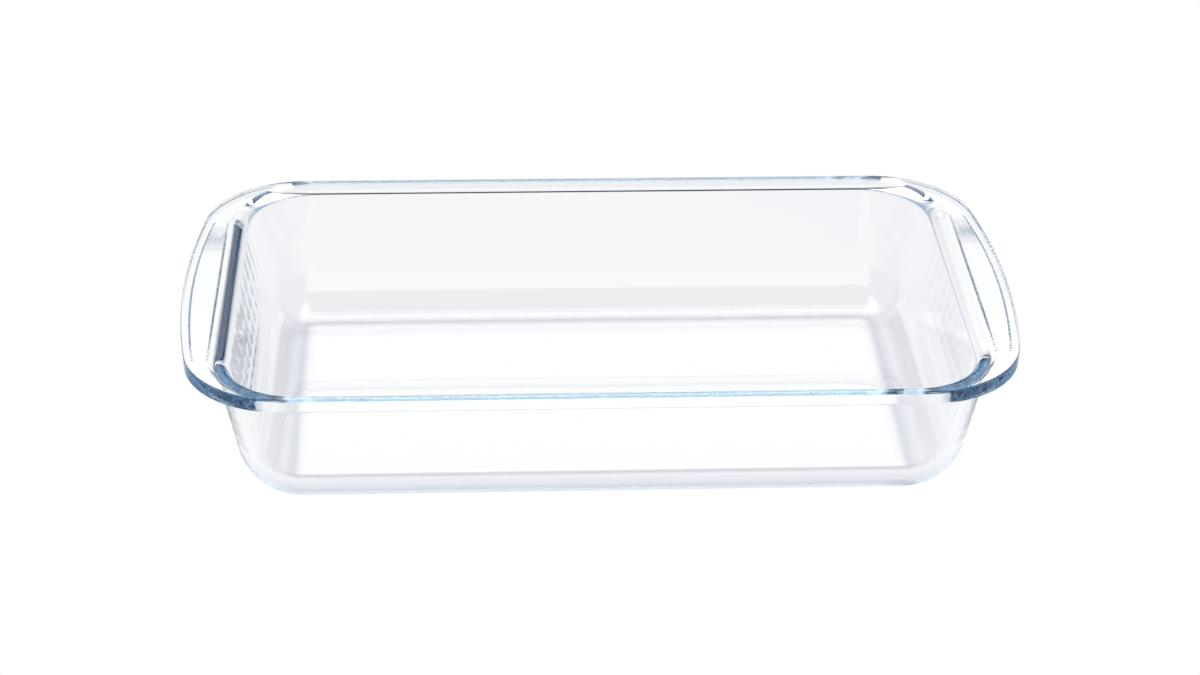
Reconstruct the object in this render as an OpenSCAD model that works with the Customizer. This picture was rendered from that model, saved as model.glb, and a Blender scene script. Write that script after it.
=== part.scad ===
// Rectangular baking dish of clear pressed glass: one pressing, with a moulded rim
// and a handle at each end. It is drawn as zones of that one pressing, which meet
// face to face. All sizes are in millimetres. The origin is at the middle of the
// underside, with X along the dish, Y across it and Z up.

/* [Overall] */
// Length over both handles
overall_l = 280; // [250:1:340]
// Width over the rims of the long sides
overall_w = 153.8; // [142:0.2:190]
// Height from the table to the top of the rim
overall_h = 49; // [44:0.5:60]

/* [Tray] */
// Thickness of the floor and of the curve that joins it to the walls
floor_t = 5; // [4:0.1:6.5]
// Inside radius between floor and walls
fillet_r = 15.8; // [12:0.2:19]
// Corner radius of the flat part of the floor
floor_corner_r = 1.4; // [1:0.1:3]
// Lean of the inside of the walls from the vertical, in degrees
draft = 12.8; // [9:0.1:15]
// Degrees by which the outside of the walls is steeper than the inside
taper = 1.5; // [0.5:0.1:2.5]

/* [Rim] */
// Thickness of the rim, and of the handles at their edge
lip_t = 5; // [3.6:0.1:5.6]
// Width of the rim on the long sides, from the opening to the edge
lip_w = 5.1; // [5.1:0.1:7]
// Radius of the rounded edge of the opening
opening_r = 4.3; // [3:0.1:4.3]
// Radius of the rim's outer edge, above and below
lip_round = 0.7; // [0.4:0.1:0.7]
// Radius between the underside of the rim and the walls of the long sides
side_neck_r = 0.8; // [0.6:0.1:1.6]

/* [Handles] */
// Reach of each handle beyond the opening
handle_reach = 18.5; // [16:0.1:26]
// Radius between the underside of each handle and the end wall
neck_r = 2.4; // [1.8:0.1:3]
// Radius of the bowed end of each handle, seen from above
handle_bow_r = 308; // [220:2:500]
// Depth of the finger recess under each handle
recess_d = 1.3; // [0.6:0.1:2]
// Width of the bead along the handle's edge, outside the recess
bead_w = 2.8; // [2:0.1:6]
// Width of the flat strip between the recess and the radius of the handle
recess_gap = 0.6; // [0.2:0.1:3]
// Distance from each end of the recess to the end of the straight wall
recess_end = 1.6; // [1:0.1:8]

/* [Smoothness] */
// Segments of a full circle
fine = 96; // [48:8:160]

/* [Hidden] */

$fn = fine;
clear_glass = [0.82, 0.92, 0.95, 0.45];
rim_glass = [0.45, 0.66, 0.76, 0.6];

half_l = overall_l / 2;
half_w = overall_w / 2;
under_z = overall_h - lip_t;
low_z = under_z + lip_round;
outer_draft = draft - taper;
heel_r = fillet_r + floor_t;
overrun = lip_t;

// Each wall is one section swept around the floor. Its u axis runs outwards from the
// axis of the floor's corner. A wall face is the straight line that leans outwards by
// a degrees and touches the circle of radius r about the point (turn_u, heel_r).
turn_u = floor_corner_r;
function face_u(r, a, z) = turn_u + (r + (z - heel_r) * sin(a)) / cos(a);
function face_touch(r, a) = [turn_u + r * cos(a), heel_r - r * sin(a)];

// The rounded inner edge of the rim touches the inside of the wall
inner_edge_z = overall_h - opening_r;
inner_edge = [face_u(fillet_r + opening_r, draft, inner_edge_z), inner_edge_z];
inner_edge_touch = inner_edge + opening_r * [-cos(draft), sin(draft)];
opening_u = inner_edge[0] - opening_r;
corner_y = half_w - opening_u - lip_w;
corner_x = half_l - opening_u - handle_reach;

// The neck is the part of the wall beside the radius under the rim. At the ends that
// radius touches the wall and the flat underside of the handle.
neck_z = under_z - neck_r;
neck_outer = [face_u(heel_r, outer_draft, neck_z), neck_z];
neck_inner = [face_u(fillet_r, draft, neck_z), neck_z];
neck_middle = (neck_outer + neck_inner) / 2;
end_neck = [face_u(heel_r + neck_r, outer_draft, neck_z), neck_z];

// Height up to which the sections of the neck reach into the rim
joint_z = overall_h - opening_r / 2;

// The radius under a wide side rim touches the wall and the rim's flat underside. Under a
// narrow one it touches the wall and the lower round of the rim's edge, which has its
// centre at side_low.
side_neck_z = under_z - side_neck_r;
flat_neck = [face_u(heel_r + side_neck_r, outer_draft, side_neck_z), side_neck_z];
side_low = [opening_u + lip_w - lip_round, low_z];
side_is_flat = side_low[0] > flat_neck[0];
side_proud = side_low[0] - face_u(heel_r, outer_draft, low_z);
side_off = side_neck_r - side_proud * cos(outer_draft);
side_drop = side_is_flat ? 0 : sqrt((lip_round + side_neck_r) ^ 2 - side_off ^ 2);
round_neck = side_low + side_off * [cos(outer_draft), -sin(outer_draft)]
    - side_drop * [sin(outer_draft), cos(outer_draft)];
round_touch = side_low + (round_neck - side_low) * lip_round / (lip_round + side_neck_r);
side_neck = side_is_flat ? flat_neck : round_neck;
side_touch = side_is_flat ? [flat_neck[0], under_z] : round_touch;

// The round corner of the rim and the bowed end touch at the end of the straight wall.
// The corner's radius is rounded so that its edge meets the long side's edge exactly, and
// the bow then takes the radius that touches it.
round_to = 0.01;
rim_corner_r = round((half_w - corner_y) / (1 - corner_y / handle_bow_r) / round_to) * round_to;
rim_corner_y = half_w - rim_corner_r;
join_sin = (corner_y - rim_corner_y) / rim_corner_r;
join_a = asin(join_sin);
bow_r = corner_y / join_sin;
bow_x = half_l - bow_r;
rim_corner_x = bow_x + (bow_r - rim_corner_r) * cos(join_a);
sweep_spare = 4;

recess_x = corner_x + end_neck[0] + recess_gap;
recess_half_w = corner_y - recess_end;

// Section of a wall, from the axis of the floor's corner up to the neck
module wall_section() {
    inner_touch = face_touch(fillet_r, draft);
    outer_touch = face_touch(heel_r, outer_draft);
    beyond = 2 * outer_touch - inner_touch;
    polygon([
        [0, 0],
        [turn_u, 0],
        [turn_u + floor_t / 2, floor_t / 2],
        [turn_u, floor_t],
        [0, floor_t]
    ]);
    intersection() {
        translate([turn_u, heel_r]) {
            difference() {
                circle(heel_r);
                circle(fillet_r);
            }
        }
        polygon([
            [turn_u, heel_r],
            inner_touch,
            beyond,
            [beyond[0], -overrun],
            [turn_u, -overrun]
        ]);
    }
    polygon([
        inner_touch,
        (inner_touch + outer_touch) / 2 - [0, floor_t / 2],
        outer_touch,
        neck_outer,
        neck_inner
    ]);
}

// Section of the inner half of the rim: the round edge of the opening and the inside
// of the neck
module opening_edge_section() {
    polygon([neck_inner, neck_middle, inner_edge, inner_edge_touch]);
    intersection() {
        translate(inner_edge) circle(opening_r);
        polygon([
            inner_edge,
            [inner_edge[0], overall_h + overrun],
            [inner_edge[0] - 2 * opening_r, overall_h + overrun],
            2 * inner_edge_touch - inner_edge
        ]);
    }
}

// A quarter of a disc: z0 is 0 for the round above its centre, -lip_round for one below
module edge_round(z0) {
    intersection() {
        circle(lip_round);
        translate([0, z0]) square(lip_round);
    }
}

// Section of a plate of the rim from u0 out to its rounded edge at u1
module plate_section(u0, u1) {
    translate([u0, under_z]) square([u1 - lip_round - u0, lip_t]);
    translate([u1 - lip_round, low_z]) square([lip_round, lip_t - 2 * lip_round]);
    translate([u1 - lip_round, low_z]) edge_round(-lip_round);
    translate([u1 - lip_round, overall_h - lip_round]) edge_round(0);
}

// Section of the outer half of a long side's rim
module side_lip_section() {
    wall_touch = side_neck - side_neck_r * [cos(outer_draft), -sin(outer_draft)];
    plate_section(inner_edge[0], opening_u + lip_w);
    difference() {
        polygon(concat(
            [
                neck_middle,
                neck_outer,
                wall_touch,
                side_neck,
                side_touch
            ],
            side_is_flat ? [] : [side_low],
            [
                [side_is_flat ? flat_neck[0] : side_low[0], joint_z],
                [inner_edge[0], joint_z],
                inner_edge
            ]
        ));
        translate(side_neck) circle(side_neck_r);
    }
}

// Section of the neck under a handle, out to where its radius meets the handle
module handle_neck_section() {
    wall_touch = end_neck - neck_r * [cos(outer_draft), -sin(outer_draft)];
    difference() {
        polygon([
            neck_middle,
            neck_outer,
            wall_touch,
            end_neck,
            [end_neck[0], joint_z],
            [inner_edge[0], joint_z],
            inner_edge
        ]);
        translate(end_neck) circle(neck_r);
    }
}

// Section of the neck around a corner of the rim: a straight slope, because the side of
// the rim has no flat underside there for a radius to meet
module corner_neck_section() {
    slope_end = (3 * side_touch + side_low) / 4;
    polygon([
        neck_middle,
        neck_outer,
        slope_end,
        [slope_end[0], joint_z],
        [inner_edge[0], joint_z],
        inner_edge
    ]);
}

module quarter_turn() {
    translate([corner_x, corner_y]) rotate_extrude(angle = 90) children();
}

// A section laid along the long side at the back, from x1 towards -X, with u towards +Y
module along_side(x1, len, y0) {
    translate([x1, y0]) {
        mirror([1, 0, 0]) rotate([90, 0, 90]) linear_extrude(len) children();
    }
}

// A section laid along an end, with u towards +X
module along_end() {
    translate([corner_x, corner_y]) {
        rotate([90, 0, 0]) linear_extrude(2 * corner_y) children();
    }
}

// The four quarters of the dish, made from the back right one
module back_left() {
    mirror([1, 0, 0]) children();
}
module front_right() {
    mirror([0, 1, 0]) children();
}
module front_left() {
    rotate(180) children();
}

module long_wall() {
    along_side(corner_x, 2 * corner_x, corner_y) wall_section();
}

module end_wall() {
    along_end() wall_section();
}

module wall_corner() {
    quarter_turn() wall_section();
}

module long_rim() {
    along_side(corner_x, 2 * corner_x, corner_y) {
        opening_edge_section();
        side_lip_section();
    }
}

// The rim widens around the corner from the long side to the handle
module rim_corner() {
    quarter_turn() {
        opening_edge_section();
        corner_neck_section();
    }
    difference() {
        union() {
            along_side(rim_corner_x, rim_corner_x - corner_x, 0) plate_section(corner_y, half_w);
            intersection() {
                translate([rim_corner_x, rim_corner_y]) {
                    rotate(90) {
                        rotate_extrude(angle = join_a - sweep_spare - 90) {
                            plate_section((corner_y - rim_corner_y) / 2, rim_corner_r);
                        }
                    }
                }
                translate([corner_x, corner_y, 0]) cube([half_l, half_w, overall_h + overrun]);
            }
        }
        translate([corner_x, corner_y, 0]) cylinder(h = overall_h + overrun, r = inner_edge[0]);
    }
}

module handle_plate() {
    intersection() {
        translate([bow_x, 0]) {
            rotate(-join_a - sweep_spare) {
                rotate_extrude(angle = 2 * (join_a + sweep_spare)) {
                    plate_section(bow_r - handle_reach - lip_w, bow_r);
                }
            }
        }
        translate([corner_x + inner_edge[0], -corner_y, 0]) {
            cube([half_l, 2 * corner_y, overall_h + overrun]);
        }
    }
}

// The finger recess under the handle. Its outer side follows the bowed end.
module finger_recess() {
    intersection() {
        translate([bow_x, 0, under_z - overrun]) {
            cylinder(h = overrun + recess_d, r = bow_r - bead_w, $fn = 8 * fine);
        }
        translate([recess_x, -recess_half_w, under_z - overrun]) {
            cube([half_l, 2 * recess_half_w, lip_t + overrun]);
        }
    }
}

module handle() {
    along_end() {
        opening_edge_section();
        handle_neck_section();
    }
    difference() {
        handle_plate();
        finger_recess();
    }
}

module base() {
    color(clear_glass) {
        translate([-corner_x, -corner_y, 0]) cube([2 * corner_x, 2 * corner_y, floor_t]);
    }
}

module back_wall() {
    color(clear_glass) long_wall();
}
module front_wall() {
    color(clear_glass) front_right() long_wall();
}
module right_wall() {
    color(clear_glass) end_wall();
}
module left_wall() {
    color(clear_glass) back_left() end_wall();
}

module back_right_corner() {
    color(clear_glass) wall_corner();
}
module back_left_corner() {
    color(clear_glass) back_left() wall_corner();
}
module front_right_corner() {
    color(clear_glass) front_right() wall_corner();
}
module front_left_corner() {
    color(clear_glass) front_left() wall_corner();
}

module back_rim() {
    color(rim_glass) long_rim();
}
module front_rim() {
    color(rim_glass) front_right() long_rim();
}

module back_right_rim_corner() {
    color(rim_glass) rim_corner();
}
module back_left_rim_corner() {
    color(rim_glass) back_left() rim_corner();
}
module front_right_rim_corner() {
    color(rim_glass) front_right() rim_corner();
}
module front_left_rim_corner() {
    color(rim_glass) front_left() rim_corner();
}

module right_handle() {
    color(rim_glass) handle();
}
module left_handle() {
    color(rim_glass) back_left() handle();
}

base();
front_wall();
back_wall();
left_wall();
right_wall();
front_left_corner();
front_right_corner();
back_left_corner();
back_right_corner();
front_rim();
back_rim();
front_left_rim_corner();
front_right_rim_corner();
back_left_rim_corner();
back_right_rim_corner();
left_handle();
right_handle();
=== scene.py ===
# Looks of the glass air fryer dish: one clear pressed-glass mesh, floor, light and camera.
# The sizes of the dish and of the camera are in millimetres, and the mesh and the camera's
# place are turned into metres as they are made. The other lengths are in metres.
import math

import bpy
import numpy as np
from mathutils import Matrix, Vector


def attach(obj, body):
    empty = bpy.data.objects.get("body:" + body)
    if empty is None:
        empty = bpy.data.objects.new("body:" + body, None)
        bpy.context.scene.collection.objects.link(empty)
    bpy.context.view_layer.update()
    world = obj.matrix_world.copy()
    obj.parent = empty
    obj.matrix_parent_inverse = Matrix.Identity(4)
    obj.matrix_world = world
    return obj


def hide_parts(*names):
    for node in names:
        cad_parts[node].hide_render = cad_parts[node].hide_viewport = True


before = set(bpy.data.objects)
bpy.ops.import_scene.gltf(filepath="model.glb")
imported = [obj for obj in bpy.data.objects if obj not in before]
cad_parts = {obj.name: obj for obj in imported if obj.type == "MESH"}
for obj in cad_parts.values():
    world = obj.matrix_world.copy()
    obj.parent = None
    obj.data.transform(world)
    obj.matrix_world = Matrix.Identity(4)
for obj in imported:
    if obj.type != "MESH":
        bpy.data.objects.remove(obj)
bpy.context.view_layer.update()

MM = 0.001

# Slack for rounding, in a direction or an angle, and in the height of the flat underside
TINY = 1e-9
FLAT_SLACK = 1e-7

# Overall
LENGTH = 280.0
WIDTH = 153.8
HEIGHT = 49.0

# Tray. TURN is the radius of the floor's corners, DRAFT is how far the inside of the wall
# leans out, and TAPER is how much less its outside leans.
FLOOR_T = 5.0
FILLET_R = 15.8
TURN = 1.4
DRAFT = math.radians(12.8)
TAPER = math.radians(1.5)

# Rim and handles. The necks are the radii under the rim, REACH is how far a handle goes out
# from the opening, and BOW_R is the radius of its edge, seen from above.
LIP_T = 5.0
LIP_W = 5.1
OPENING_R = 4.3
LIP_ROUND = 0.7
SIDE_NECK_R = 0.8
NECK_R = 2.4
REACH = 18.5
BOW_R = 308.0

# Finger recess under each handle, between a bead along the edge and a gap beside the neck.
# Its inner and outer slopes are twice RECESS_SOFT wide. Towards its ends the depth runs out
# over RECESS_FADE, and is gone RECESS_STOP before the wall starts to turn.
RECESS_D = 1.3
BEAD_W = 2.8
RECESS_GAP = 0.6
RECESS_SOFT = 0.45
RECESS_STOP = 0.2
RECESS_FADE = 26.0

# Worked out from the sizes above, as in the part's source
HALF_L = LENGTH / 2
HALF_W = WIDTH / 2
OPENING_Z = HEIGHT - OPENING_R
UNDER_Z = HEIGHT - LIP_T
LOW_Z = UNDER_Z + LIP_ROUND
OUTER = DRAFT - TAPER
HEEL_R = FILLET_R + FLOOR_T


def face_u(r, a, z):
    """u at height z, measured out from the axis of the floor's corner, of a wall's face that
    leans out by the angle a and touches the circle of radius r at the wall's foot."""
    return TURN + (r + (z - HEEL_R) * math.sin(a)) / math.cos(a)


def neck_u(r):
    """Centre of a neck of radius r that touches the wall and the rim's flat underside."""
    return face_u(HEEL_R + r, OUTER, UNDER_Z - r)


# The opening, the axes of the floor's corners, the arcs of the rim seen from above, and the
# start of the recess
IN_EDGE = face_u(FILLET_R + OPENING_R, DRAFT, OPENING_Z)
OPENING = IN_EDGE - OPENING_R
CORNER_X = HALF_L - OPENING - REACH
CORNER_Y = HALF_W - OPENING - LIP_W
JOIN_SIN = CORNER_Y / BOW_R
JOIN_A = math.asin(JOIN_SIN)
RIM_R = (HALF_W - CORNER_Y) / (1 - JOIN_SIN)
RIM_Y = HALF_W - RIM_R
BOW_X = HALF_L - BOW_R
RIM_X = BOW_X + (BOW_R - RIM_R) * math.cos(JOIN_A)
END_NECK = neck_u(NECK_R)
RECESS_X = CORNER_X + END_NECK + RECESS_GAP

# Steps of the mesh up the inside of the wall, over the rim and down the outside
FILLET_STEPS = 26
WALL_STEPS = 8
OPENING_STEPS = 20
TOP_STEPS = 6
ROUND_STEPS = 11
EDGE_STEPS = 4
FINE_STEPS = 200

# Points across the flat underside of a handle, and steps round the neck after them. Where
# the points are spread evenly, the neck counts as longer than it is, to get more of them.
BEAD_POINTS = 4
SLOPE_POINTS = 11
RECESS_POINTS = 4
FLAT_POINTS = BEAD_POINTS + 2 * SLOPE_POINTS + RECESS_POINTS
NECK_STEPS = 14
BEND_WEIGHT = 5.0

# How close the recess's slopes may come to the rim's lower round, and how far inside the
# inner slope's foot the last point across the recess lies
EDGE_GAP = 0.05
FOOT_INSET = 0.02

# Round a rim corner, the points gather for the recess in this share of the turn next to the
# handle, and only where the flat underside is wider than about FLAT_LEAST
GATHER_SHARE = 0.25
FLAT_LEAST = 2.0

# Steps of the mesh round the dish
FADE_STEPS = 18
MIDDLE_STEPS = 36
CORNER_STEPS = 32
SIDE_STEPS = 32


def arc(cu, cz, r, a0, a1, n):
    """n + 1 points of an arc in the section, angles from the u axis towards +Z."""
    a = np.linspace(a0, a1, n + 1)
    return np.column_stack([cu + r * np.cos(a), cz + r * np.sin(a)])


def line(p, q, n):
    """The n - 1 points between p and q, with more of them near both ends."""
    t = np.arange(1, n) / n
    t = 0.5 - 0.5 * np.cos(math.pi * t)
    return np.outer(1 - t, p) + np.outer(t, q)


def inner_section():
    """From the floor up the inside of the wall and over the round edge of the opening."""
    fillet = arc(TURN, HEEL_R, FILLET_R, -math.pi / 2, -DRAFT, FILLET_STEPS)
    edge = arc(IN_EDGE, OPENING_Z, OPENING_R, math.pi - DRAFT, math.pi / 2, OPENING_STEPS)
    return np.vstack([fillet, line(fillet[-1], edge[0], WALL_STEPS), edge])


def outer_section(neck_end):
    """From the end of the neck down the outside of the wall and round the heel."""
    heel = arc(TURN, HEEL_R, HEEL_R, -OUTER, -math.pi / 2, FILLET_STEPS)
    return np.vstack([line(neck_end, heel[0], WALL_STEPS), heel])


def out_to_arc(dx, dy, nx, ny, r):
    """Distance along (nx, ny) to an arc of radius r, from a point at (dx, dy) from its
    centre, or None where the arc is missed."""
    along = dx * nx + dy * ny
    square = along * along - dx * dx - dy * dy + r * r
    return math.sqrt(square) - along if square >= 0 else None


def out_to_rim(bx, by, nx, ny, inset):
    """Distance from a point in the first quadrant to the rim's outline, set in by inset:
    the straight side, else the rim corner's arc, else the bow of the handle."""
    if ny > TINY:
        t = (HALF_W - inset - by) / ny
        if bx + t * nx <= RIM_X:
            return t
    t = out_to_arc(bx - RIM_X, by - RIM_Y, nx, ny, RIM_R - inset)
    if t is not None:
        turn = math.atan2(by + t * ny - RIM_Y, bx + t * nx - RIM_X)
        if turn >= JOIN_A - TINY:
            return t
    return out_to_arc(bx - BOW_X, by, nx, ny, BOW_R - inset)


def neck_curve(edge_u, r):
    """Underside of the rim at a place where its lower round has its centre at edge_u and
    the neck has the radius r: the angle at which that round ends, and a finely sampled
    curve from there to the wall."""
    if edge_u >= neck_u(r):
        stop = -math.pi / 2
        centre = np.array([neck_u(r), UNDER_Z - r])
        flat = np.linspace(edge_u, neck_u(r), FINE_STEPS)[:-1]
        start = np.column_stack([flat, np.full(len(flat), UNDER_Z)])
        first = math.pi / 2
    else:
        proud = edge_u - face_u(HEEL_R, OUTER, LOW_Z)
        off = r - proud * math.cos(OUTER)
        drop = math.sqrt((LIP_ROUND + r) ** 2 - off ** 2)
        centre = np.array([
            edge_u + off * math.cos(OUTER) - drop * math.sin(OUTER),
            LOW_Z - off * math.sin(OUTER) - drop * math.cos(OUTER),
        ])
        stop = math.atan2(centre[1] - LOW_Z, centre[0] - edge_u)
        start = np.zeros((0, 2))
        first = stop + math.pi
    bend = arc(centre[0], centre[1], r, first, math.pi - OUTER, FINE_STEPS)
    return stop, np.vstack([start, bend])


def spread(curve, flat_marks):
    """Points along the underside curve. flat_marks, if any, are u values that get points."""
    seg = np.linalg.norm(np.diff(curve, axis=0), axis=1)
    flat = curve[:-1, 1] > UNDER_Z - FLAT_SLACK
    weight = np.where(flat, seg, seg * BEND_WEIGHT)
    total = np.concatenate([[0.0], np.cumsum(weight)])
    if flat_marks is None:
        want = np.linspace(0.0, total[-1], FLAT_POINTS + NECK_STEPS + 1)
    else:
        bend_from = total[flat.sum()]
        flat_end = curve[flat.sum(), 0]
        marks = (curve[0, 0] - np.array(flat_marks)) / (curve[0, 0] - flat_end) * bend_from
        want = np.concatenate([marks, np.linspace(bend_from, total[-1], NECK_STEPS + 1)])
    return np.column_stack([np.interp(want, total, curve[:, k]) for k in (0, 1)])


def recess_out(y):
    """x of the recess's outer side at y: it follows the bowed edge, one bead further in."""
    return BOW_X + math.sqrt((BOW_R - BEAD_W) ** 2 - y * y)


def handle_marks(edge_u, y):
    """u values of the points across a handle's underside, closest at the recess's sides."""
    out = recess_out(y) - CORNER_X
    foot = END_NECK + RECESS_GAP
    top = foot + 2 * RECESS_SOFT
    outer_from = min(out + RECESS_SOFT, edge_u - EDGE_GAP)
    outer_side = np.linspace(outer_from, out - RECESS_SOFT, SLOPE_POINTS)
    bead = np.linspace(edge_u, outer_side[0], BEAD_POINTS + 1)[:-1]
    floor = np.linspace(outer_side[-1], top, RECESS_POINTS + 2)[1:-1]
    inner_side = np.linspace(top, foot + FOOT_INSET, SLOPE_POINTS)
    return np.concatenate([bead, outer_side, floor, inner_side])


def soft_step(d):
    """0 below -1, 1 above 1, and smooth between."""
    t = np.clip(d / 2 + 0.5, 0.0, 1.0)
    return t * t * t * (t * (t * 6 - 15) + 10)


def recess_depth(x, y):
    """Depth of the finger recess at a point of a handle's underside."""
    x, y = abs(x), abs(y)
    outer = soft_step((recess_out(y) - x) / RECESS_SOFT)
    inner = soft_step((x - RECESS_X - RECESS_SOFT) / RECESS_SOFT)
    ends = soft_step(2 * (CORNER_Y - RECESS_STOP - y) / RECESS_FADE - 1)
    return RECESS_D * outer * inner * ends


def stations():
    """Places around the dish: a point on the rectangle of corner axes, the direction out
    from it, and 1 on a handle, 0 on a long side and between them at a corner."""
    quarter = math.pi / 2
    fade = np.linspace(CORNER_Y - RECESS_FADE, CORNER_Y, FADE_STEPS + 1)
    middle = np.linspace(-fade[0], fade[0], MIDDLE_STEPS + 1)[1:-1]
    ys = np.concatenate([-fade[::-1], middle, fade])
    turn = np.linspace(0, quarter, CORNER_STEPS + 1)[1:-1]
    xs = np.linspace(CORNER_X, -CORNER_X, SIDE_STEPS + 1)
    half = [(CORNER_X, y, 0.0, 1.0) for y in ys]
    half += [(CORNER_X, CORNER_Y, a, 1 - a / quarter) for a in turn]
    half += [(x, CORNER_Y, quarter, 0.0) for x in xs]
    half += [(-CORNER_X, CORNER_Y, quarter + a, a / quarter) for a in turn]
    return half + [(-x, -y, a + math.pi, handle) for x, y, a, handle in half]


def rim_point(q, centre_z, t):
    """A point of the rim's outer edge, on a round with its centre at height centre_z."""
    inset = LIP_ROUND * (1 - math.cos(t))
    return out_to_rim(*q, inset), centre_z + LIP_ROUND * math.sin(t)


def rim_edge(q, stop):
    """The rim's outer edge, from its top face to where its lower round ends."""
    high_z = HEIGHT - LIP_ROUND
    upper = np.linspace(math.pi / 2, 0, ROUND_STEPS + 1)
    middle = np.linspace(high_z, LOW_Z, EDGE_STEPS + 1)[1:-1]
    lower = np.linspace(0, stop, ROUND_STEPS + 1)
    points = [rim_point(q, high_z, t) for t in upper]
    points += [rim_point(q, z, 0) for z in middle]
    points += [rim_point(q, LOW_Z, t) for t in lower]
    return np.array(points)


def under_rim(curve, neck, y, handle):
    """Points along the rim's underside to the wall. They gather for the recess on a handle,
    and round a corner they pass over to an even spread."""
    edge_u = curve[0, 0]
    if handle == 1:
        return spread(curve, handle_marks(edge_u, abs(y)))
    plain = spread(curve, None)
    if handle == 0 or edge_u <= END_NECK + FLAT_LEAST:
        return plain
    marks = handle_marks(edge_u, CORNER_Y)
    scale = (edge_u - neck) / (marks[0] - END_NECK)
    gathered = spread(curve, neck + (marks - END_NECK) * scale)
    share = max(0.0, 1 - (1 - handle) / GATHER_SHARE)
    return share * gathered + (1 - share) * plain


def section_at(x, y, a, handle):
    """The closed section at one station as rows of x, y, z, from the floor of the inside,
    over the rim, to the underside of the dish."""
    nx, ny = math.cos(a), math.sin(a)
    q = (abs(x), abs(y), abs(nx), abs(ny))
    round_u = out_to_rim(*q, LIP_ROUND)
    share = handle * handle * (3 - 2 * handle)
    neck_r = SIDE_NECK_R + share * (NECK_R - SIDE_NECK_R)
    stop, curve = neck_curve(round_u, neck_r)
    inner = inner_section()
    top = line(inner[-1], (round_u, HEIGHT), TOP_STEPS)
    edge = rim_edge(q, stop)
    edge[-1] = curve[0]
    under = under_rim(curve, neck_u(neck_r), y, handle)
    uz = np.vstack([inner, top, edge, under[1:], outer_section(under[-1])])
    pts = np.column_stack([x + uz[:, 0] * nx, y + uz[:, 0] * ny, uz[:, 1]])
    if handle == 1:
        first = len(inner) + len(top) + len(edge)
        for p in pts[first:first + len(under) - 1]:
            p[2] += recess_depth(p[0], p[1])
    return pts


def area_normals(co, quads):
    """Vertex normals as the sum of the faces' normals by area, so flats stay flat."""
    normals = np.zeros_like(co)
    corners = np.array(quads).T
    diagonal = co[corners[2]] - co[corners[0]]
    other = co[corners[3]] - co[corners[1]]
    face_normals = np.cross(diagonal, other)
    for corner in corners:
        np.add.at(normals, corner, face_normals)
    return normals


def dish_mesh():
    """The whole dish as one closed mesh: a band of sections, and a face above and below."""
    rings = [section_at(*s) for s in stations()]
    rows, cols = len(rings), len(rings[0])
    co = np.vstack(rings) * MM
    faces = []
    for i in range(rows):
        j = (i + 1) % rows
        for k in range(cols - 1):
            faces.append((i * cols + k, i * cols + k + 1, j * cols + k + 1, j * cols + k))
    normals = area_normals(co, faces)
    inside = [i * cols for i in range(rows)]
    under = [i * cols + cols - 1 for i in range(rows)]
    normals[inside] = (0, 0, 1)
    normals[under] = (0, 0, -1)
    normals /= np.linalg.norm(normals, axis=1)[:, None]
    faces.append(tuple(inside))
    faces.append(tuple(reversed(under)))
    mesh = bpy.data.meshes.new("glass_dish")
    mesh.from_pydata(co.tolist(), [], faces)
    mesh.validate()
    mesh.polygons.foreach_set("use_smooth", [True] * len(mesh.polygons))
    mesh.normals_split_custom_set_from_vertices([tuple(v) for v in normals])
    mesh.update()
    return mesh


def node(tree, kind, x, y, **values):
    """A new shader node at x, y of the node editor, with these values on its inputs. An
    underscore in an input's name stands for a space."""
    made = tree.nodes.new(kind)
    made.location = (x, y)
    for name, value in values.items():
        made.inputs[name.replace("_", " ")].default_value = value
    return made


def maths(tree, kind, x, y, first, second=None):
    """The result of a math node on one or two linked values."""
    made = node(tree, "ShaderNodeMath", x, y)
    made.operation = kind
    tree.links.new(first, made.inputs[0])
    if second:
        tree.links.new(second, made.inputs[1])
    return made.outputs["Value"]


def vector_math(tree, kind, x, y, first, second=None):
    """The result of a vector math node on a linked vector and, if given, a constant one."""
    made = node(tree, "ShaderNodeVectorMath", x, y)
    made.operation = kind
    tree.links.new(first, made.inputs[0])
    if second:
        made.inputs[1].default_value = second
    return made.outputs["Value" if kind == "LENGTH" else "Vector"]


def soft_range(tree, x, y, value, span, low, high):
    """low where the value is below the span, high where it is above, and smooth between."""
    made = node(tree, "ShaderNodeMapRange", x, y, From_Min=span[0], From_Max=span[1],
                To_Min=low, To_Max=high)
    made.interpolation_type = "SMOOTHSTEP"
    tree.links.new(value, made.inputs["Value"])
    return made.outputs["Result"]


def even_light(tree, kind, x, y, colour):
    """The shader of an Emission or Background node of one colour and strength 1."""
    return node(tree, kind, x, y, Color=(*colour, 1.0)).outputs[0]


def mixed(tree, x, y, share, first, second):
    """The first shader where the share is 0, the second where it is 1."""
    made = node(tree, "ShaderNodeMixShader", x, y)
    tree.links.new(share, made.inputs["Fac"])
    tree.links.new(first, made.inputs[1])
    tree.links.new(second, made.inputs[2])
    return made.outputs["Shader"]


def set_ramp(ramp, stops):
    """Give a colour ramp these (position, colour) stops."""
    elements = ramp.color_ramp.elements
    while len(elements) < len(stops):
        elements.new(0.5)
    for element, (at, colour) in zip(elements, stops):
        element.position = at
        element.color = (*colour, 1.0)


WHITE = (1.0, 1.0, 1.0)

# The glass: its refraction, its tint, and the size and depth of the relief on its surface,
# for the clear glass and for the finely stippled slopes of the recesses
GLASS_IOR = 1.474
TINT = (0.20, 0.54, 0.74)
TINT_DENSITY = 3.6
CLEAR_RELIEF = (0.038, 0.00002)
STIPPLE_RELIEF = (0.0009, 0.00030)


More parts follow.
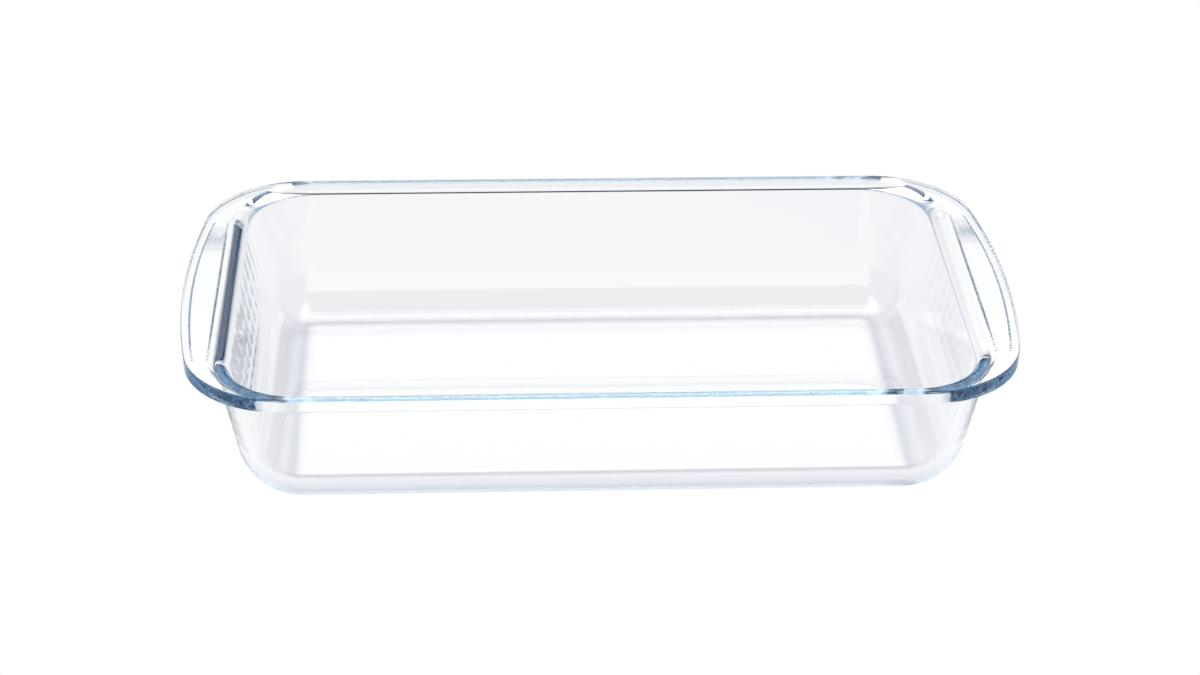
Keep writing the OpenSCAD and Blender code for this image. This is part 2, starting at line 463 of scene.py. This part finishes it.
def glass_material(name, size, depth):
    """Clear pressed glass: faint relief from the mould, of this size and depth, and a blue
    tint that only shows where the light runs a long way through it."""
    mat = bpy.data.materials.new(name)
    mat.use_nodes = True
    tree = mat.node_tree
    tree.nodes.clear()
    place = node(tree, "ShaderNodeTexCoord", -900, 0)
    wave = node(tree, "ShaderNodeTexNoise", -600, 0, Scale=1 / size, Detail=1.0, Roughness=0.4)
    bump = node(tree, "ShaderNodeBump", 0, -200, Strength=1.0, Distance=depth)
    glass = node(tree, "ShaderNodeBsdfPrincipled", 300, 0, Base_Color=(*WHITE, 1.0),
                 Roughness=0.0, IOR=GLASS_IOR, Transmission_Weight=1.0)
    tint = node(tree, "ShaderNodeVolumeAbsorption", 300, -300, Color=(*TINT, 1.0),
                Density=TINT_DENSITY)
    out = node(tree, "ShaderNodeOutputMaterial", 600, 0)
    link = tree.links.new
    link(place.outputs["Object"], wave.inputs["Vector"])
    link(wave.outputs["Fac"], bump.inputs["Height"])
    link(bump.outputs["Normal"], glass.inputs["Normal"])
    link(glass.outputs["BSDF"], out.inputs["Surface"])
    link(tint.outputs["Volume"], out.inputs["Volume"])
    return mat


def on_recess_side(x, y, z):
    """Whether a point of the mesh is on the inner or the outer slope of a finger recess."""
    x, y, z = abs(x) / MM, abs(y) / MM, z / MM
    if y > CORNER_Y or not UNDER_Z < z < UNDER_Z + RECESS_D:
        return False
    inner = RECESS_X + RECESS_SOFT
    return min(abs(x - inner), abs(x - recess_out(y))) < RECESS_SOFT


def make_dish():
    """The dish in clear glass, stippled on the recesses' slopes, in place of all CAD nodes."""
    dish = bpy.data.objects.new("glass_dish", dish_mesh())
    bpy.context.scene.collection.objects.link(dish)
    dish.data.materials.append(glass_material("clear_glass", *CLEAR_RELIEF))
    dish.data.materials.append(glass_material("stippled_glass", *STIPPLE_RELIEF))
    for polygon in dish.data.polygons:
        if on_recess_side(*polygon.center):
            polygon.material_index = 1
    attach(dish, "root")
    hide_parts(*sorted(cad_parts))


# Half the floor's width, and how far it lies below the dish's underside, so that the two
# faces don't coincide
FLOOR_HALF = 8.0
FLOOR_DROP = 0.0004

# Brightness of the floor as the glass shows it, with a painted shadow of the dish that makes
# it dimmer under the heel. The first number of each tone is how far out from the rectangle of
# the corners' axes, as a share of FLOOR_SPAN.
FLOOR_SPAN = 0.06
FLOOR_LIGHT = 1.01
PAINTED_FLOOR_SHADE = (
    (0.00, (0.97, 0.97, 0.985)),
    (0.04, (0.91, 0.91, 0.94)),
    (0.09, (0.62, 0.63, 0.71)),
    (0.17, (0.80, 0.80, 0.86)),
    (0.28, (0.90, 0.90, 0.935)),
    (0.60, (0.98, 0.98, 0.99)),
)

# To the left and right of the dish, that floor falls off to a dim blue of painted shade: the
# distances from the middle at which this starts and is whole
FLOOR_ENDS = (0.150, 0.210)
END_PAINTED_SHADE = (0.33, 0.45, 0.58)

# Towards the back, it passes over to an even pale grey, painted shade: where this starts and
# is whole
FLOOR_BACK = (0.047, 0.072)
BACK_PAINTED_SHADE = (0.93, 0.93, 0.95)


def floor_with_painted_shade(tree, place):
    """The floor's light as the glass shows it, with painted shade, from the floor's own
    coordinates.
    """
    at = vector_math(tree, "ABSOLUTE", -1000, 0, place)
    at = vector_math(tree, "SUBTRACT", -800, 0, at, (CORNER_X * MM, CORNER_Y * MM, 0))
    at = vector_math(tree, "MAXIMUM", -600, 0, at, (0, 0, 0))
    out_by = vector_math(tree, "LENGTH", -400, 0, at)
    share = node(tree, "ShaderNodeMapRange", -200, 0, From_Max=FLOOR_SPAN)
    # Painted shadow of the dish: the floor's tones by the distance out from the corners' axes
    ramp = node(tree, "ShaderNodeValToRGB", 0, 0)
    set_ramp(ramp, PAINTED_FLOOR_SHADE)
    shaded = node(tree, "ShaderNodeEmission", 300, 0, Strength=FLOOR_LIGHT)
    tree.links.new(out_by, share.inputs["Value"])
    tree.links.new(share.outputs["Result"], ramp.inputs["Fac"])
    tree.links.new(ramp.outputs["Color"], shaded.inputs["Color"])
    split = node(tree, "ShaderNodeSeparateXYZ", -800, 300)
    tree.links.new(place, split.inputs["Vector"])
    aside = maths(tree, "ABSOLUTE", -600, 300, split.outputs["X"])
    ends = soft_range(tree, -400, 300, aside, FLOOR_ENDS, 0.0, 1.0)
    behind = soft_range(tree, -400, 600, split.outputs["Y"], FLOOR_BACK, 0.0, 1.0)
    # Painted shade: an even pale grey behind the dish
    back = even_light(tree, "ShaderNodeEmission", 300, -200, BACK_PAINTED_SHADE)
    # Painted shade: a dim blue at the floor's left and right ends
    end = even_light(tree, "ShaderNodeEmission", 300, 200, END_PAINTED_SHADE)
    middle = mixed(tree, 500, 0, behind, shaded.outputs["Emission"], back)
    return mixed(tree, 700, 0, ends, middle, end)


def make_floor():
    """A white floor that runs on into the white surroundings. Seen through the glass it has
    painted shade in its colour, in place of the soft shade that the dish gives it."""
    mesh = bpy.data.meshes.new("floor")
    s = FLOOR_HALF
    mesh.from_pydata([(-s, -s, 0), (s, -s, 0), (s, s, 0), (-s, s, 0)], [], [(0, 1, 2, 3)])
    floor = bpy.data.objects.new("floor", mesh)
    floor.location.z = -FLOOR_DROP
    bpy.context.scene.collection.objects.link(floor)
    mat = bpy.data.materials.new("pale_floor")
    mat.use_nodes = True
    tree = mat.node_tree
    tree.nodes.clear()
    place = node(tree, "ShaderNodeTexCoord", -1200, 0)
    in_glass = floor_with_painted_shade(tree, place.outputs["Object"])
    white = even_light(tree, "ShaderNodeEmission", 700, -200, WHITE)
    ray = node(tree, "ShaderNodeLightPath", 700, 400)
    # The camera sees the floor evenly white, the glass sees it with the painted shade
    seen = mixed(tree, 900, 0, ray.outputs["Is Camera Ray"], in_glass, white)
    out = node(tree, "ShaderNodeOutputMaterial", 1100, 0)
    tree.links.new(seen, out.inputs["Surface"])
    mesh.materials.append(mat)


# The studio as the glass sees it: a bright strip from the front over the top to the back,
# brightest high up. It is dark to the left and right of the strip, and in the strip itself
# low at the back, high in front and in a spot right overhead. The dark is blue at the sides
# and nearly black in the middle. Each pair is the x, y or z of the direction in which the
# glass looks, as a unit vector, where a change starts and where it is whole.
STRIP_HALF = (0.28, 0.58)
BACK_FROM = (0.0, 0.3)
BACK_BRIGHT = (0.28, 0.45)
FRONT_FROM = (-0.25, -0.02)
FRONT_DARK = (0.62, 0.76)
TOP_DARK = (0.90, 0.98)
OVERHEAD = (0.60, 0.82)
MIDDLE_HALF = (0.10, 0.30)
STRIP_LIGHT = 1.3
OVERHEAD_LIGHT = 3.9
SIDE_COLOUR = (0.004, 0.046, 0.120)
MIDDLE_COLOUR = (0.012, 0.014, 0.020)


def either(tree, x, where, value):
    """1 outside the place that where marks, and the value inside it."""
    made = node(tree, "ShaderNodeMapRange", x, -100, To_Min=1.0)
    tree.links.new(where, made.inputs["Value"])
    tree.links.new(value, made.inputs["To Max"])
    return made.outputs["Result"]


def strip_share(tree, split, aside):
    """1 in the bright strip and 0 in the dark, from the direction's parts."""
    x_share = soft_range(tree, -600, 200, aside, STRIP_HALF, 1.0, 0.0)
    back = soft_range(tree, -600, 0, split.outputs["Y"], BACK_FROM, 0.0, 1.0)
    back_bright = soft_range(tree, -600, -200, split.outputs["Z"], BACK_BRIGHT, 0.0, 1.0)
    front = soft_range(tree, -600, -400, split.outputs["Y"], FRONT_FROM, 1.0, 0.0)
    front_bright = soft_range(tree, -600, -600, split.outputs["Z"], FRONT_DARK, 1.0, 0.0)
    below_top = soft_range(tree, 150, -100, split.outputs["Z"], TOP_DARK, 1.0, 0.0)
    share = maths(tree, "MULTIPLY", 0, 100, x_share, either(tree, -400, back, back_bright))
    share = maths(tree, "MULTIPLY", 150, 100, share, either(tree, -200, front, front_bright))
    return maths(tree, "MULTIPLY", 300, 100, share, below_top)


def studio_in_glass(tree, split):
    """The studio's light as the glass shows it, from the direction's parts."""
    aside = maths(tree, "ABSOLUTE", -800, 200, split.outputs["X"])
    share = strip_share(tree, split, aside)
    height = split.outputs["Z"]
    light = soft_range(tree, 0, -200, height, OVERHEAD, STRIP_LIGHT, OVERHEAD_LIGHT)
    bright = node(tree, "ShaderNodeBackground", 300, -200, Color=(*WHITE, 1.0))
    tree.links.new(light, bright.inputs["Strength"])
    in_middle = soft_range(tree, -600, 400, aside, MIDDLE_HALF, 1.0, 0.0)
    side = even_light(tree, "ShaderNodeBackground", 100, 450, SIDE_COLOUR)
    middle = even_light(tree, "ShaderNodeBackground", 100, 300, MIDDLE_COLOUR)
    dark = mixed(tree, 300, 300, in_middle, side, middle)
    return mixed(tree, 500, 100, share, dark, bright.outputs["Background"])


def make_light():
    """A plain white studio for the camera, and bright and dark parts for the glass."""
    world = bpy.data.worlds.new("studio")
    bpy.context.scene.world = world
    world.use_nodes = True
    tree = world.node_tree
    tree.nodes.clear()
    place = node(tree, "ShaderNodeTexCoord", -1200, 0)
    split = node(tree, "ShaderNodeSeparateXYZ", -1000, 0)
    tree.links.new(place.outputs["Generated"], split.inputs["Vector"])
    in_glass = studio_in_glass(tree, split)
    white = even_light(tree, "ShaderNodeBackground", 500, -200, WHITE)
    ray = node(tree, "ShaderNodeLightPath", 500, 400)
    seen = mixed(tree, 700, 0, ray.outputs["Is Camera Ray"], in_glass, white)
    out = node(tree, "ShaderNodeOutputWorld", 900, 0)
    tree.links.new(seen, out.inputs["Surface"])


# Camera, from the fit of the dish's outlines in the photo: the angles are in radians, and
# the shifts and the distance place the dish's origin as the camera sees it
LENS = 81.0
SENSOR = 36.0
YAW = -0.05430
PITCH = 0.52208
ROLL = 0.01480
SHIFT_X = -1.45506
SHIFT_Y = 22.52034
DISTANCE = 943.35788


def make_camera():
    """The camera at the photo's viewing angle."""
    data = bpy.data.cameras.new("camera")
    data.lens = LENS
    data.sensor_width = SENSOR
    camera = bpy.data.objects.new("camera", data)
    bpy.context.scene.collection.objects.link(camera)
    s, c = math.sin(PITCH), math.cos(PITCH)
    base = Matrix(((1, 0, 0), (0, -s, -c), (0, c, -s)))
    s, c = math.sin(YAW), math.cos(YAW)
    turn = Matrix(((c, s, 0), (-s, c, 0), (0, 0, 1)))
    s, c = math.sin(ROLL), math.cos(ROLL)
    tilt = Matrix(((c, -s, 0), (s, c, 0), (0, 0, 1)))
    rows = tilt @ base @ turn
    where = -(rows.transposed() @ Vector((SHIFT_X, SHIFT_Y, DISTANCE))) * MM
    axes = Matrix((rows[0], -rows[1], -rows[2])).transposed().to_4x4()
    camera.matrix_world = Matrix.Translation(where) @ axes
    bpy.context.scene.camera = camera


# Light that enters the rim runs a long way through the glass before it comes out
LONGEST_PATH = 160


def set_up_view():
    """Plain colours, and light paths long enough for the rim."""
    scene = bpy.context.scene
    scene.view_settings.view_transform = "Standard"
    scene.view_settings.look = "None"
    scene.cycles.max_bounces = LONGEST_PATH
    scene.cycles.transmission_bounces = LONGEST_PATH
    scene.cycles.glossy_bounces = LONGEST_PATH


make_camera()
make_dish()
make_floor()
make_light()
set_up_view()
